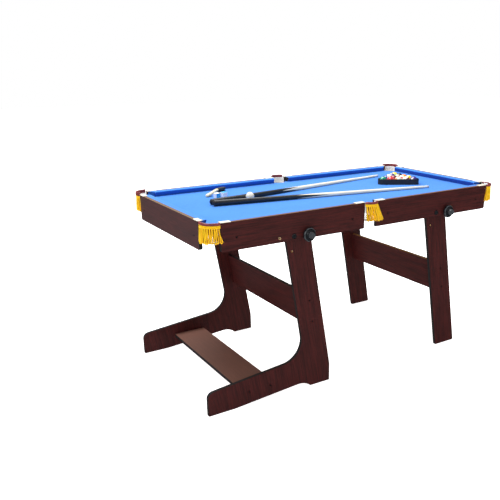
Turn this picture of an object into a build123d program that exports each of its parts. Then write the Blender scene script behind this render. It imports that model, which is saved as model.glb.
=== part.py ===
"""Folding pool table on an L-shaped stand, with its cues, balls, rack, chalk and brush.

Millimetres, +Z up, +X towards the straight prop legs, origin on the floor under the middle of the outline.
The top hinges on the stand and tips up to stand on end, and the prop legs hinge under its other half.
"""

from build123d import *
import math
import os

# ---- driving dimensions -------------------------------------------------------------------------
table_length = 1524.0
table_width = 762.0
rail_top = 787.0
apron_height = 112.0
board = 15.0  # thickness of aprons, legs and crosspieces
edge_round = 0.8

cushion_height = 23.0
cushion_depth = 29.0  # from the apron's inner face to the nose
cushion_undercut = 9.0
jaw = 24.0  # how far a cushion's nose stops short of its back at a corner pocket
side_jaw = 8.0
cloth = 2.0
bed_thickness = 12.0
batten_thickness = 10.0
batten_width = 60.0

corner_gap_x = 56.0  # side apron's end, measured in from the table's end
corner_gap_y = 74.0  # end apron's end, measured in from the table's side
side_gap = 64.0  # opening between two side aprons
pocket_radius = 31.2
net_wall = 1.5
net_floor = 703.0
rim_size = 9.0  # thickness of the leather band that closes a pocket between the aprons
rim_crown = 5.0  # how far the band stands over the rails
rim_lip = 778.0  # underside of the band
fringe_thickness = 6.0
fringe_flare = 3.0
corner_fringe_end = 710.0
side_fringe_end = 705.0
bracket_thickness = 2.5
bracket_width = 20.0

pivot_reach = 386.5  # pivots, from the middle of the table
pivot_height = 692.5
lock_radius = 66.0  # lock holes, from the pivot
bolt_radius = 4.0
running = 0.08  # radial clearance of pins and studs
free_gap = 0.4  # between pieces of different bodies
insert_radius = 5.5
knob_backed_off = 6.3  # gap behind a knob's flange
knob_radius = 28.5

stand_leg_width = 120.4  # along X
stand_lean = 9.6  # degrees
prop_leg_width = 123.0
prop_lean = 10.0
leg_rise = 22.0  # leg tops above their pivots
crosspiece = 155.0
foot_reach = 785.0  # the stand's toe, from the middle of the table

screw_radius = 2.0
screw_head = 3.6
screw_head_height = 1.2
screw_depth = 45.0

ball_radius = 19.0
ball_gap = 0.4
cue_length = 1090.0
cue_butt_radius = 13.0
cue_tip_radius = 5.5
chalk_size = 24.0

# ---- derived places -----------------------------------------------------------------------------
half_length = table_length / 2
half_width = table_width / 2
inner_x = half_length - board
inner_y = half_width - board
apron_bottom = rail_top - apron_height
apron_middle = rail_top - apron_height / 2
bed_surface = rail_top - cushion_height
bed_top = bed_surface - cloth
bed_bottom = bed_top - bed_thickness
side_apron_end = half_length - corner_gap_x
end_apron_end = half_width - corner_gap_y
screw_row = rail_top - 62.0

corner_pocket = (half_length - 39.0, half_width - 44.0)
corner_rim = (half_length - 45.0, half_width - 45.0)
corner_rim_radius = 46.75
side_rim_radius = 36.0
fringe_reach = corner_rim_radius + fringe_thickness / 2 + fringe_flare

# The stand's toes reach past the table's end, so the table sits off the middle of the outline.
table_x = (foot_reach - (corner_rim[0] + fringe_reach)) / 2

stand_outer_y = inner_y - 0.8
stand_inner_y = stand_outer_y - board
prop_outer_y = stand_inner_y - 0.8
prop_inner_y = prop_outer_y - board
stand_pivot = (table_x - pivot_reach, pivot_height)
prop_pivot = (table_x + pivot_reach, pivot_height)

os.makedirs("parts", exist_ok=True)


def save(part, name):
    """Label a finished piece and write it to its own file."""
    part.label = name
    export_step(part, f"parts/{name}.step")


def side_name(sign):
    return "near" if sign < 0 else "far"


def end_name(sign):
    return "left" if sign < 0 else "right"


def upright(y):
    """The plane at y whose local axes are the frame's X and Z. It extrudes towards -Y."""
    return Plane(origin=(0, y, 0), x_dir=(1, 0, 0), z_dir=(0, -1, 0))


def facing(x, y, z, sign):
    """A plane at a point, with its normal along +Y or -Y."""
    return Plane(origin=(x, y, z), x_dir=(1, 0, 0), z_dir=(0, sign, 0))


def radial(center, angle):
    """A plane through a vertical axis, local x pointing outwards at the angle and local y up."""
    c = math.cos(math.radians(angle))
    s = math.sin(math.radians(angle))
    return Plane(origin=(center[0], center[1], 0), x_dir=(c, s, 0), z_dir=(s, -c, 0))


def cylinder_from(radius, height, mode=Mode.ADD):
    """A cylinder that starts at its location and runs along its normal."""
    Cylinder(radius, height, align=(Align.CENTER, Align.CENTER, Align.MIN), mode=mode)


def round_both_sides(piece, axis):
    """Round the outline edges on the two large faces of a board."""
    sides = piece.faces().sort_by(axis)
    fillet(sides[0].edges() + sides[-1].edges(), radius=edge_round)


def drill(points, y, radius):
    """Holes along Y through one board whose outer face is at y."""
    with BuildSketch(upright(y if y > 0 else y + board)) as holes:
        with Locations(*points):
            Circle(radius)
    extrude(holes.sketch, amount=board, mode=Mode.SUBTRACT)


# ---- stand: two L-shaped legs, an upper crosspiece and a foot board --------------------------------
stand_slope = math.tan(math.radians(stand_lean))
stand_top = pivot_height + leg_rise
heel_x = table_x - 193.0
toe_x = table_x - foot_reach
bend = (table_x - 325.0, 145.5)
toe_slope = 0.0976
toe_corner = (toe_x, bend[1] + (toe_x - bend[0]) * toe_slope)
stand_top_left = bend[0] - (stand_top - bend[1]) * stand_slope
notch_peak = (table_x - 360.0, 23.0)
notch_mid = (table_x - 322.0, 17.5)
notch_end = (table_x - 294.0, 0.0)
toe_pad_end = (table_x - 666.0, 0.0)

foot_board_at = (table_x - 548.5, 58.5)
upper_board_at = (table_x - 293.0, 350.0)
stand_dx = 48.0 * math.sin(math.radians(stand_lean))
stand_screw_points = [
    (foot_board_at[0] - 51.0, foot_board_at[1]),
    (foot_board_at[0] + 51.0, foot_board_at[1]),
    (upper_board_at[0] - stand_dx, upper_board_at[1] + 48.0),
    (upper_board_at[0] + stand_dx, upper_board_at[1] - 48.0),
]
stand_lock_points = [
    (stand_pivot[0] + lock_radius, pivot_height),
    (stand_pivot[0], pivot_height - lock_radius),
]

for sign in (-1, 1):
    outer = sign * stand_outer_y
    with BuildPart() as stand_leg:
        with BuildSketch(upright(max(outer, outer - sign * board))):
            with BuildLine():
                Polyline(
                    notch_end,
                    (heel_x, 0),
                    (heel_x, 80),
                    (stand_top_left + stand_leg_width, stand_top),
                    (stand_top_left, stand_top),
                    bend,
                    toe_corner,
                    (toe_x, 0),
                    toe_pad_end,
                    notch_peak,
                )
                ThreePointArc(notch_peak, notch_mid, notch_end)
            make_face()
        extrude(amount=board)
        across = stand_leg.edges().filter_by(Axis.Y)
        fillet(across.sort_by_distance((bend[0], outer, bend[1]))[0], radius=95)
        across = stand_leg.edges().filter_by(Axis.Y)
        fillet(across.sort_by_distance((toe_corner[0], outer, toe_corner[1]))[0], radius=28)
        across = stand_leg.edges().filter_by(Axis.Y)
        fillet(across.sort_by_distance((heel_x, outer, 0))[0], radius=3)
        across = stand_leg.edges().filter_by(Axis.Y)
        fillet(across.sort_by_distance((toe_x, outer, 0))[0], radius=4)
        across = stand_leg.edges().filter_by(Axis.Y)
        fillet(across.group_by(Axis.Z)[-1], radius=6)
        round_both_sides(stand_leg, Axis.Y)
        drill([stand_pivot], outer, bolt_radius + running)
        drill(stand_lock_points, outer, bolt_radius + 0.6)
        drill(stand_screw_points, outer, screw_radius)
    save(stand_leg.part, f"stand_leg_{side_name(sign)}")


def screw_holes(points, inner):
    """Pilot holes in both ends of a crosspiece that ends at plus and minus inner."""
    depth = screw_depth - board
    for start in (inner, depth - inner):
        with BuildSketch(upright(start)) as holes:
            with Locations(*points):
                Circle(screw_radius)
        extrude(holes.sketch, amount=depth, mode=Mode.SUBTRACT)


def crossboard(center, lean, inner, points):
    """A crosspiece between two legs, leaning as they do."""
    with BuildPart() as piece:
        with BuildSketch(upright(inner)):
            with Locations(Location((center[0], center[1], 0), lean)):
                Rectangle(board, crosspiece)
        extrude(amount=2 * inner)
        fillet(piece.edges().filter_by(Axis.Y), radius=edge_round)
        screw_holes(points, inner)
    return piece.part


def screws(points, outer):
    """The screws of both legs, each a domed head and a shank along Y."""
    with BuildPart() as group:
        for sign in (-1, 1):
            for x, z in points:
                with Locations(facing(x, sign * outer, z, -sign)):
                    cylinder_from(screw_radius, screw_depth)
                with Locations(facing(x, sign * outer, z, sign)):
                    cylinder_from(screw_head, screw_head_height)
    return group.part


save(crossboard(upper_board_at, stand_lean, stand_inner_y, stand_screw_points[2:]), "stand_upper_board")
save(crossboard(foot_board_at, 90, stand_inner_y, stand_screw_points[:2]), "stand_foot_board")
save(screws(stand_screw_points, stand_outer_y), "stand_screws")

# ---- prop legs: two straight boards and a crosspiece -----------------------------------------------
prop_slope = math.tan(math.radians(prop_lean))
prop_foot_left = table_x + 474.0
prop_board_at = (table_x + 483.5, 352.8)
prop_dx = 48.0 * math.sin(math.radians(prop_lean))
prop_screw_points = [
    (prop_board_at[0] - prop_dx, prop_board_at[1] + 48.0),
    (prop_board_at[0] + prop_dx, prop_board_at[1] - 48.0),
]
prop_lock_points = [
    (prop_pivot[0] + lock_radius, pivot_height),
    (prop_pivot[0], pivot_height - lock_radius),
]
prop_shift = stand_top * prop_slope

for sign in (-1, 1):
    outer = sign * prop_outer_y
    with BuildPart() as prop_leg:
        with BuildSketch(upright(max(outer, outer - sign * board))):
            with BuildLine():
                Polyline(
                    (prop_foot_left, 0),
                    (prop_foot_left + prop_leg_width, 0),
                    (prop_foot_left + prop_leg_width - prop_shift, stand_top),
                    (prop_foot_left - prop_shift, stand_top),
                    close=True,
                )
            make_face()
        extrude(amount=board)
        fillet(prop_leg.edges().filter_by(Axis.Y), radius=6)
        round_both_sides(prop_leg, Axis.Y)
        drill([prop_pivot], outer, bolt_radius + running)
        drill(prop_lock_points, outer, bolt_radius + 0.6)
        drill(prop_screw_points, outer, screw_radius)
    save(prop_leg.part, f"prop_leg_{side_name(sign)}")

save(crossboard(prop_board_at, prop_lean, prop_inner_y, prop_screw_points), "prop_board")
save(screws(prop_screw_points, prop_outer_y), "prop_screws")

# ---- table top: aprons ------------------------------------------------------------------------------
insert_points = [
    (stand_pivot[0] + lock_radius, pivot_height),
    (stand_pivot[0] - lock_radius, pivot_height),
    (prop_pivot[0] + lock_radius, pivot_height),
]
side_screw_points = [(table_x + x, screw_row) for x in (-641.0, -97.0, 97.0, 641.0)]
end_screw_y = 266.0


def same_half(points, half):
    return [p for p in points if (p[0] - table_x) * half > 0]


for sign in (-1, 1):
    for half in (-1, 1):
        outer = sign * half_width
        near_x = table_x + half * side_gap / 2
        far_x = table_x + half * side_apron_end
        with BuildPart() as apron:
            with BuildSketch(upright(max(outer, outer - sign * board))):
                with Locations(((near_x + far_x) / 2, apron_middle)):
                    Rectangle(abs(far_x - near_x), apron_height)
            extrude(amount=board)
            across = apron.edges().filter_by(Axis.Y)
            fillet(across.sort_by_distance((far_x, outer, apron_bottom))[0], radius=8)
            round_both_sides(apron, Axis.Y)
            drill(same_half([stand_pivot, prop_pivot], half), outer, bolt_radius)
            drill(same_half(insert_points, half), outer, insert_radius)
            drill(same_half(side_screw_points, half), outer, screw_radius)
        save(apron.part, f"side_apron_{side_name(sign)}_{end_name(half)}")

for half in (-1, 1):
    with BuildPart() as end_apron:
        with Locations((table_x + half * (half_length - board / 2), 0, apron_middle)):
            Box(board, 2 * end_apron_end, apron_height)
        across = end_apron.edges().filter_by(Axis.X).group_by(Axis.Z)[0]
        fillet(across, radius=8)
        round_both_sides(end_apron, Axis.X)
        with BuildSketch(Plane.YZ.offset(table_x + half * (half_length - board / 2))):
            with Locations((-end_screw_y, screw_row), (end_screw_y, screw_row)):
                Circle(screw_radius)
        extrude(amount=board, both=True, mode=Mode.SUBTRACT)
    save(end_apron.part, f"end_apron_{end_name(half)}")

with BuildPart() as apron_screws:
    for sign in (-1, 1):
        for x, z in side_screw_points:
            with Locations(facing(x, sign * half_width, z, -sign)):
                cylinder_from(screw_radius, board)
            with Locations(facing(x, sign * half_width, z, sign)):
                cylinder_from(screw_head, screw_head_height)
        for y in (-end_screw_y, end_screw_y):
            face = table_x + sign * half_length
            with Locations(Plane(origin=(face, y, screw_row), z_dir=(-sign, 0, 0))):
                cylinder_from(screw_radius, board)
            with Locations(Plane(origin=(face, y, screw_row), z_dir=(sign, 0, 0))):
                cylinder_from(screw_head, screw_head_height)
save(apron_screws.part, "apron_screws")

# ---- table top: bed, cloth and battens --------------------------------------------------------------
corners = [(sx, sy) for sx in (-1, 1) for sy in (-1, 1)]
corner_pockets = [(table_x + sx * corner_pocket[0], sy * corner_pocket[1]) for sx, sy in corners]
side_pockets = [(table_x, sy * inner_y) for sy in (-1, 1)]


def bed_layer(bottom, height):
    """A sheet that fills the frame, open at the six pockets."""
    with BuildPart() as layer:
        with BuildSketch(Plane.XY.offset(bottom)):
            with Locations((table_x, 0)):
                Rectangle(2 * inner_x, 2 * inner_y)
            for sx, sy in corners:
                x = table_x + sx * (side_apron_end + inner_x) / 2
                y = sy * (end_apron_end + inner_y) / 2
                with Locations((x, y)):
                    Rectangle(inner_x - side_apron_end, inner_y - end_apron_end, mode=Mode.SUBTRACT)
            with Locations(*corner_pockets, *side_pockets):
                Circle(pocket_radius, mode=Mode.SUBTRACT)
        extrude(amount=height)
    return layer.part


save(bed_layer(bed_bottom, bed_thickness), "bed_board")
save(bed_layer(bed_top, cloth), "bed_cloth")

with BuildPart() as bed_battens:
    for x in (-600, -200, 200, 600):
        with Locations((table_x + x, 0, bed_bottom - batten_thickness / 2)):
            Box(batten_width, 2 * inner_y, batten_thickness)
save(bed_battens.part, "bed_battens")

# ---- table top: cloth-covered cushions ----------------------------------------------------------------
nose_drop = 4.0
back_overhang = 13.0  # a cushion's back runs this far past its apron towards the corner pocket


def cushion(plan, section_plane, back, nose):
    """A cushion with a given plan, cut to a section with a rounded nose and an undercut face."""
    inward = 1 if nose > back else -1
    with BuildPart() as piece:
        with BuildSketch(Plane.XY.offset(bed_surface)):
            with BuildLine():
                Polyline(*plan, close=True)
            make_face()
        extrude(amount=cushion_height)
        with BuildSketch(section_plane):
            with BuildLine():
                Polyline(
                    (nose - inward * nose_drop, rail_top),
                    (back, rail_top),
                    (back, bed_surface),
                    (nose - inward * cushion_undercut, bed_surface),
                    (nose, rail_top - nose_drop - 2),
                    (nose, rail_top - nose_drop),
                )
                RadiusArc(
                    (nose, rail_top - nose_drop),
                    (nose - inward * nose_drop, rail_top),
                    nose_drop * inward * -1,
                )
            make_face()
        extrude(amount=table_length, both=True, mode=Mode.INTERSECT)
    return piece.part


cushion_back_x = side_apron_end - back_overhang
cushion_back_y = end_apron_end - back_overhang + 2.0
for sign in (-1, 1):
    for half in (-1, 1):
        back = sign * inner_y
        nose = sign * (inner_y - cushion_depth)
        plan = [
            (table_x + half * (side_gap / 2 + 3), back),
            (table_x + half * cushion_back_x, back),
            (table_x + half * (cushion_back_x - jaw), nose),
            (table_x + half * (side_gap / 2 + 3 + side_jaw), nose),
        ]
        piece = cushion(plan, Plane.YZ.offset(table_x), back, nose)
        save(piece, f"side_cushion_{side_name(sign)}_{end_name(half)}")
for half in (-1, 1):
    back = table_x + half * inner_x
    nose = table_x + half * (inner_x - cushion_depth)
    plan = [
        (back, -cushion_back_y),
        (back, cushion_back_y),
        (nose, cushion_back_y - jaw / 2),
        (nose, -cushion_back_y + jaw / 2),
    ]
    save(cushion(plan, upright(0), back, nose), f"end_cushion_{end_name(half)}")

# ---- table top: pockets -------------------------------------------------------------------------------
net_top = rail_top - 3.0
net_low_radius = 24.0


def sector(center, start, sweep):
    """Turn the pending profile about a vertical axis through center."""
    revolve(axis=Axis((center[0], center[1], 0), (0, 0, 1)), revolution_arc=sweep)


def leather_rim(center, radius, arc):
    """A stuffed leather band that hangs between two aprons and stands a little over them."""
    top = rail_top + rim_crown
    with BuildPart() as piece:
        with BuildSketch(radial(center, arc[0])):
            with Locations((radius, (rim_lip + top) / 2)):
                RectangleRounded(rim_size, top - rim_lip, rim_size / 3)
        sector(center, *arc)
    return piece.part


def pocket_net(center, open_arc):
    """A net bag, open at the top, whose upper lining stands only along the outside of the pocket."""
    inner = pocket_radius - net_wall
    with BuildPart() as piece:
        with BuildSketch(radial(center, open_arc[0])):
            with BuildLine():
                Polyline(
                    (0, net_floor),
                    (net_low_radius, net_floor),
                    (net_low_radius + 4, net_floor + 8),
                    (pocket_radius, net_floor + 28),
                    (pocket_radius, bed_top),
                    (inner, bed_top),
                    (inner, net_floor + 28.5),
                    (net_low_radius + 2.6, net_floor + 8.7),
                    (net_low_radius - 0.8, net_floor + net_wall),
                    (0, net_floor + net_wall),
                    close=True,
                )
            make_face()
        sector(center, open_arc[0], 360)
        with BuildSketch(radial(center, open_arc[0])):
            with Locations(((inner + pocket_radius) / 2, (bed_top - 2 + net_top) / 2)):
                Rectangle(net_wall, net_top - bed_top + 2)
        sector(center, *open_arc)
    return piece.part


def fringe(center, radius, low, arc):
    """A skirt of hanging yarn, a little wider at its lower end."""
    inside = radius - fringe_thickness / 2
    outside = radius + fringe_thickness / 2
    with BuildPart() as piece:
        with BuildSketch(radial(center, arc[0])):
            with BuildLine():
                Polyline(
                    (inside, rim_lip),
                    (outside, rim_lip),
                    (outside + fringe_flare, low),
                    (inside + fringe_flare, low),
                    close=True,
                )
            make_face()
        sector(center, *arc)
    return piece.part


to_end = 76.0  # degrees from a corner's diagonal to the end apron's edge
to_side = 56.0  # degrees from a corner's diagonal to the side apron's edge
net_half = 64.0  # degrees either side of the diagonal where the lining stands above the bed
for sx, sy in corners:
    name = f"{side_name(sy)}_{end_name(sx)}"
    diagonal = math.degrees(math.atan2(sy, sx))
    first = to_end if sx * sy > 0 else to_side
    gap_arc = (diagonal - first, to_end + to_side)
    rim_at = (table_x + sx * corner_rim[0], sy * corner_rim[1])
    net_at = (table_x + sx * corner_pocket[0], sy * corner_pocket[1])
    save(leather_rim(rim_at, corner_rim_radius, gap_arc), f"leather_{name}")
    save(pocket_net(net_at, (diagonal - net_half, 2 * net_half)), f"net_{name}")
    save(fringe(rim_at, corner_rim_radius, corner_fringe_end, gap_arc), f"fringe_{name}")

side_rim_half = 60.0
for sy in (-1, 1):
    name = f"{side_name(sy)}_middle"
    outward = 90.0 * sy
    at = (table_x, sy * inner_y)
    rim_arc = (outward - side_rim_half, 2 * side_rim_half)
    save(leather_rim(at, side_rim_radius, rim_arc), f"leather_{name}")
    save(pocket_net(at, (outward - 90, 180)), f"net_{name}")
    save(fringe(at, side_rim_radius, side_fringe_end, rim_arc), f"fringe_{name}")

corner_bracket = 44.0
side_bracket = 46.0
bracket_z = rail_top + bracket_thickness / 2
with BuildPart() as pocket_brackets:
    for sx, sy in corners:
        along_x = table_x + sx * (side_apron_end - corner_bracket / 2)
        with Locations((along_x, sy * (half_width - bracket_width / 2), bracket_z)):
            Box(corner_bracket, bracket_width, bracket_thickness)
        along_y = sy * (end_apron_end - corner_bracket / 2)
        with Locations((table_x + sx * (half_length - bracket_width / 2), along_y, bracket_z)):
            Box(bracket_width, corner_bracket, bracket_thickness)
        along_x = table_x + sx * (side_gap + side_bracket) / 2
        with Locations((along_x, sy * (half_width - bracket_width / 2), bracket_z)):
            Box(side_bracket, bracket_width, bracket_thickness)
    fillet(pocket_brackets.edges().group_by(Axis.Z)[-1], radius=1)
save(pocket_brackets.part, "pocket_brackets")

# ---- pivots and locks ---------------------------------------------------------------------------------
cap_radius = 10.5
cap_height = 5.0
nut_radius = 7.5
nut_height = 6.0
pivots = [(stand_pivot, stand_inner_y), (prop_pivot, prop_inner_y)]

with BuildPart() as pivot_bolts:
    for sign in (-1, 1):
        for (x, z), leg_inner in pivots:
            shank = half_width - leg_inner + free_gap + nut_height + 2
            with Locations(facing(x, sign * half_width, z, -sign)):
                cylinder_from(bolt_radius, shank)
            with Locations(facing(x, sign * half_width, z, sign)):
                cylinder_from(cap_radius, cap_height)
    rims = pivot_bolts.edges().filter_by(GeomType.CIRCLE).sort_by(Axis.Y)
    fillet(rims[:2] + rims[-2:], radius=2.5)
save(pivot_bolts.part, "pivot_bolts")

with BuildPart() as pivot_nuts:
    for sign in (-1, 1):
        for (x, z), leg_inner in pivots:
            with BuildSketch(facing(x, sign * (leg_inner - free_gap), z, -sign)):
                RegularPolygon(nut_radius, 6)
                Circle(bolt_radius, mode=Mode.SUBTRACT)
            extrude(amount=nut_height)
save(pivot_nuts.part, "pivot_nuts")

with BuildPart() as prop_spacers:
    for sign in (-1, 1):
        with BuildSketch(facing(prop_pivot[0], sign * inner_y, pivot_height, -sign)):
            Circle(10)
            Circle(bolt_radius, mode=Mode.SUBTRACT)
        extrude(amount=inner_y - prop_outer_y - free_gap)
save(prop_spacers.part, "prop_spacers")

with BuildPart() as lock_inserts:
    for sign in (-1, 1):
        for x, z in insert_points:
            with BuildSketch(facing(x, sign * half_width, z, -sign)):
                Circle(insert_radius)
                Circle(bolt_radius + running, mode=Mode.SUBTRACT)
            extrude(amount=board)
save(lock_inserts.part, "lock_inserts")

hub_radius = 15.0
hub_height = 17.0
flange_height = 13.0
grip_count = 8
grip_radius = 11.0
grip_depth = 1.6


def knob(x, sign, leg_outer):
    """A lock knob: a flanged grip with a tapered hub, and a stud that stops just short of the leg."""
    base = half_width + knob_backed_off
    stud = base - leg_outer - free_gap
    with BuildPart() as piece:
        with BuildSketch(radial((0, 0), 0)):
            with BuildLine():
                Polyline(
                    (0, 0),
                    (knob_radius - 3, 0),
                    (knob_radius, 3),
                    (knob_radius, flange_height - 4),
                    (knob_radius - 4, flange_height),
                    (hub_radius + 3, flange_height),
                    (hub_radius, flange_height + 3),
                    (hub_radius - 3, flange_height + hub_height),
                    (0, flange_height + hub_height),
                    close=True,
                )
            make_face()
        revolve(axis=Axis.Z)
        with PolarLocations(knob_radius + grip_radius - grip_depth, grip_count):
            cylinder_from(grip_radius, flange_height, mode=Mode.SUBTRACT)
        with Locations((0, 0, 0)):
            Cylinder(bolt_radius, stud, align=(Align.CENTER, Align.CENTER, Align.MAX))
    return facing(x, sign * base, pivot_height, sign).location * piece.part


for sign in (-1, 1):
    save(knob(stand_pivot[0] + lock_radius, sign, stand_outer_y), f"knob_stand_{side_name(sign)}")
    save(knob(prop_pivot[0] + lock_radius, sign, prop_outer_y), f"knob_prop_{side_name(sign)}")

# ---- loose pieces on the cloth -------------------------------------------------------------------------
lay = bed_surface + 0.3

row_step = (2 * ball_radius + ball_gap) * math.sqrt(3) / 2
rack_at = (table_x + 490.7, 11.9)
rack_turn = 57.2
rack_clearance = 1.0
rack_inside = 4 * row_step / 3 + ball_radius + rack_clearance
rack_wall = 6.0
rack_height = 27.0
rack_corner = ball_radius + 0.6
rack_inner_corner = 14.0
apex_dir = (math.cos(math.radians(rack_turn)), math.sin(math.radians(rack_turn)), 0)
rack_plane = Plane(origin=(rack_at[0], rack_at[1], lay), x_dir=apex_dir, z_dir=(0, 0, 1))


def rounded_triangle(inradius, corner):
    """A triangle with rounded corners, one of them on its local x axis."""
    with BuildSketch() as triangle:
        with BuildLine():
            turns = [math.radians(a) for a in (0, 120, 240)]
            tips = [(2 * inradius * math.cos(a), 2 * inradius * math.sin(a)) for a in turns]
            Polyline(*tips, close=True)
        make_face()
        fillet(triangle.vertices(), radius=corner)
    return triangle.sketch


rack_outline = rounded_triangle(rack_inside + rack_wall, rack_corner + rack_wall)
rack_opening = rounded_triangle(rack_inside, rack_inner_corner)
with BuildPart() as rack:
    with BuildSketch(rack_plane):
        add(rack_outline)
        add(rack_opening, mode=Mode.SUBTRACT)
    extrude(amount=rack_height)
    fillet(rack.faces().sort_by(Axis.Z)[-1].outer_wire().edges(), radius=1.5)
save(rack.part, "rack")

with BuildPart() as racked_balls:
    for row in range(5):
        for place in range(row + 1):
            x = row_step * (8 / 3 - row)
            y = (place - row / 2) * (2 * ball_radius + ball_gap)
            with Locations(rack_plane.location * Location((x, y, ball_radius))):
                Sphere(ball_radius)
save(racked_balls.part, "racked_balls")

with BuildPart() as cue_ball:
    with Locations((table_x - 358, 24, lay + ball_radius)):
        Sphere(ball_radius)
save(cue_ball.part, "cue_ball")


def cue(butt, turn):
    """A tapered cue lying on the cloth along its whole length, butt end first."""
    dip = math.asin((cue_butt_radius - cue_tip_radius) / cue_length)
    a = math.radians(turn)
    along = Vector(math.cos(a) * math.cos(dip), math.sin(a) * math.cos(dip), -math.sin(dip))
    across = Vector(-math.sin(a), math.cos(a), 0)
    at = (butt[0], butt[1], lay + cue_butt_radius)
    with BuildPart() as piece:
        with BuildSketch(Plane(origin=at, x_dir=across, z_dir=across.cross(along))):
            with BuildLine():
                Polyline(
                    (0, 0),
                    (cue_butt_radius - 4, 0),
                    (cue_butt_radius, 6),
                    (cue_tip_radius, cue_length - 3),
                    (cue_tip_radius - 1.5, cue_length),
                    (0, cue_length),
                    close=True,
                )
            make_face()
        revolve(axis=Axis(at, along))
    return piece.part


save(cue((table_x - 551, 2), -9.99), "cue_near")
save(cue((table_x - 549, 30.5), 9.18), "cue_far")

for name, at, turn in (("chalk_left", (-458, 150), 12), ("chalk_right", (-421, 156), 20)):
    with BuildPart() as chalk:
        with BuildSketch(Plane((table_x + at[0], at[1], lay)).rotated((0, 0, turn))):
            RectangleRounded(chalk_size, chalk_size, 2)
        extrude(amount=chalk_size)
        fillet(chalk.edges().group_by(Axis.Z)[-1], radius=1)
    save(chalk.part, name)

brush_handle = 84.0
brush_head = 52.0
brush_width = 24.0
brush_height = 28.0
handle_width = 14.0
handle_arch = 10.0  # how far the handle's tail curves down to the cloth
brush_turn = math.radians(26)
brush_along = (math.cos(brush_turn), math.sin(brush_turn), 0)
brush_across = (math.sin(brush_turn), -math.cos(brush_turn), 0)
brush_at = (table_x - 490, 196)
with BuildPart() as brush:
    with BuildSketch(Plane(origin=(*brush_at, lay), x_dir=brush_along, z_dir=brush_across)):
        with BuildLine():
            low = [(0, 1), (brush_handle / 2, handle_arch / 2 + 2), (brush_handle, handle_arch + 6)]
            high = [(brush_handle, handle_arch + 18), (brush_handle / 2, handle_arch + 8), (0, handle_arch)]
            Spline(*low)
            Line(low[-1], high[0])
            Spline(*high)
            Line(high[-1], low[0])
        make_face()
    extrude(amount=handle_width / 2, both=True)
    with BuildSketch(Plane(origin=(*brush_at, lay), x_dir=brush_along)):
        with Locations((brush_handle + brush_head / 2 - 1, 0)):
            RectangleRounded(brush_head, brush_width, brush_width / 4)
    extrude(amount=brush_height)
save(brush.part, "brush")
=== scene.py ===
"""Looks of the folding pool table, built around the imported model. Metres, +Z up."""

import math
import random

import bmesh
import bpy
from mathutils import Matrix, Vector, noise


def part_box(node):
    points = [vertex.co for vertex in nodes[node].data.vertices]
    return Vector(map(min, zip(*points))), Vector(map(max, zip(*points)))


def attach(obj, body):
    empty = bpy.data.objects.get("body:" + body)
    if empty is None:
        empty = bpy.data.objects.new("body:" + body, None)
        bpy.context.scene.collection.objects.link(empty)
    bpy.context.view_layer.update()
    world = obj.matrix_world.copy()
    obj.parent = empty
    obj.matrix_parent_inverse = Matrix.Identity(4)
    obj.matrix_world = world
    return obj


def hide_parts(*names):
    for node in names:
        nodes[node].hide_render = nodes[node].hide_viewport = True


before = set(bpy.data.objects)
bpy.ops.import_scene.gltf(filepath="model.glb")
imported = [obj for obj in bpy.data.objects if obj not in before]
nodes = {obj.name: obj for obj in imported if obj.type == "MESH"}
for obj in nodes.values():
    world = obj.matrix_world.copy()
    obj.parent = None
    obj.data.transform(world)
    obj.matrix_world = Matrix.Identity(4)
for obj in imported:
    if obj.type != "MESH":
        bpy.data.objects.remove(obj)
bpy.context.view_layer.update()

MM = 0.001
bed_lo, bed_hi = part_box("bed_cloth")
TABLE_X = (bed_lo.x + bed_hi.x) / 2
BED_Z = bed_hi.z
RAIL_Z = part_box("side_cushion_near_left")[1].z
SIDES = {"near": -1, "far": 1}
ENDS = {"left": -1, "right": 1}


# ---- camera ----
def aim_camera(place, forward, down, lens, shift):
    """A camera at a point of the table's own frame, looking along forward with its head up."""
    forward = Vector(forward).normalized()
    right = forward.cross(-Vector(down)).normalized()
    up = right.cross(forward)
    camera = bpy.data.objects.new("camera", bpy.data.cameras.new("camera"))
    bpy.context.scene.collection.objects.link(camera)
    turn = Matrix((right, up, -forward)).transposed().to_4x4()
    camera.matrix_world = Matrix.Translation(Vector(place) + Vector((TABLE_X, 0, 0))) @ turn
    camera.data.sensor_width = 36
    camera.data.lens = lens
    camera.data.shift_x, camera.data.shift_y = shift
    camera.data.clip_start = 0.05
    camera.data.clip_end = 60
    bpy.context.scene.camera = camera


aim_camera(
    place=(-1.715, -2.456, 1.336),
    forward=(0.5156, 0.7944, -0.3209),
    down=(-0.1769, -0.2677, -0.9471),
    lens=46.2,
    shift=(-0.096, 0.064),
)


# ---- mesh helpers ----
def turned_out(verts, faces):
    """The faces of a closed shape, all reversed if they look inwards."""
    volume = 0.0
    for face in faces:
        first = Vector(verts[face[0]])
        for b, c in zip(face[1:], face[2:]):
            volume += first.dot(Vector(verts[b]).cross(Vector(verts[c])))
    return faces if volume > 0 else [tuple(reversed(face)) for face in faces]


def place_piece(name, mesh, body, replaces=(), matrix=None):
    """Show a mesh as a piece that rides on a body, standing at matrix if one is given."""
    piece = bpy.data.objects.new(name, mesh)
    bpy.context.scene.collection.objects.link(piece)
    if matrix is not None:
        piece.matrix_world = matrix
    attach(piece, body)
    if replaces:
        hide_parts(*replaces)
    return piece


def mesh_piece(name, verts, faces, materials, body, replaces=(), matrix=None):
    """A smooth piece from vertices and faces, riding on a body."""
    mesh = bpy.data.meshes.new(name)
    mesh.from_pydata([tuple(v) for v in verts], [], turned_out(verts, faces))
    mesh.update()
    for material in materials:
        mesh.materials.append(material)
    for polygon in mesh.polygons:
        polygon.use_smooth = True
    return place_piece(name, mesh, body, replaces, matrix)


def mesh_from(shape, name, *materials):
    """Turn a bmesh into a mesh with these materials."""
    mesh = bpy.data.meshes.new(name)
    shape.to_mesh(mesh)
    shape.free()
    for material in materials:
        mesh.materials.append(material)
    return mesh


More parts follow.
